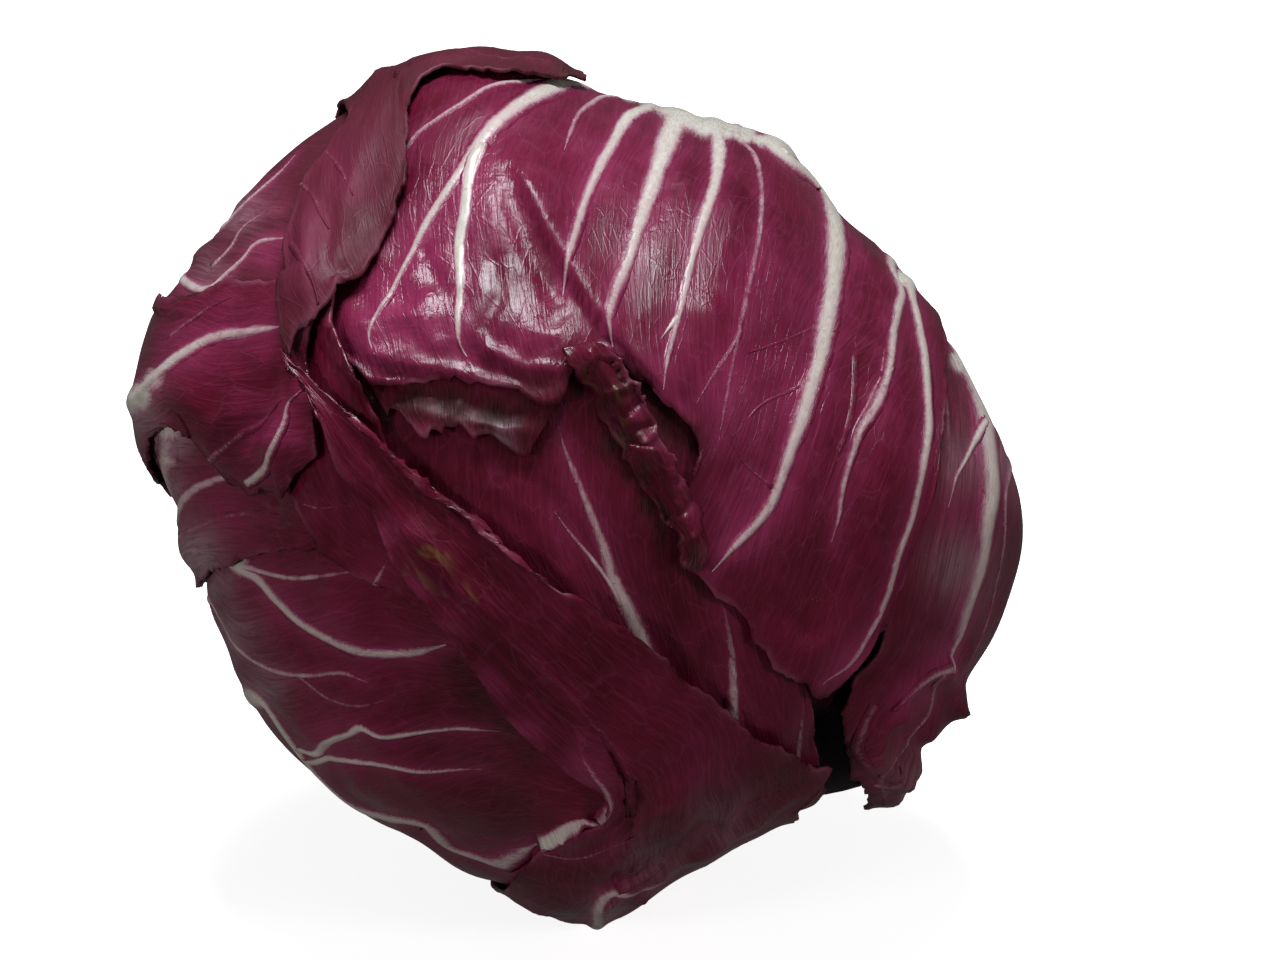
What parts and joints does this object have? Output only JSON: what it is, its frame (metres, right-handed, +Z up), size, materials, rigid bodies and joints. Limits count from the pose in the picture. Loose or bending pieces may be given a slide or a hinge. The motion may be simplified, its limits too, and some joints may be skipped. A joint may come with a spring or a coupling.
{
  "type": "radicchio head",
  "caption": "Round radicchio head lying on its side: wine-red leaves with pale ribs wrapped one over another round a tight heart, with a cut stem butt at the back.",
  "frame": {"origin": "centre of the bounding box at the surface the head rests on", "axes": "+Z up; the crown faces -Y and looks 25 degrees upwards; the cut butt is at the back, towards +Y; +X to the right seen from the crown"},
  "size_m": [0.1317, 0.1247, 0.1289],
  "materials": {
    "leaf": "satin, waxy",
    "heart": "satin",
    "stem": "matt cut stem"
  },
  "bodies": {
    "root": {"heart": "heart", "stem_butt": "stem", "leaf_centre": "leaf", "leaf_curl": "leaf", "leaf_right": "leaf", "leaf_lower": "leaf", "leaf_crown": "leaf", "leaf_side": "leaf", "leaf_left": "leaf", "leaf_strap": "leaf", "leaf_flap": "leaf", "leaf_band": "leaf", "leaf_back_low": "leaf", "leaf_back_top": "leaf"}
  },
  "joints": []
}
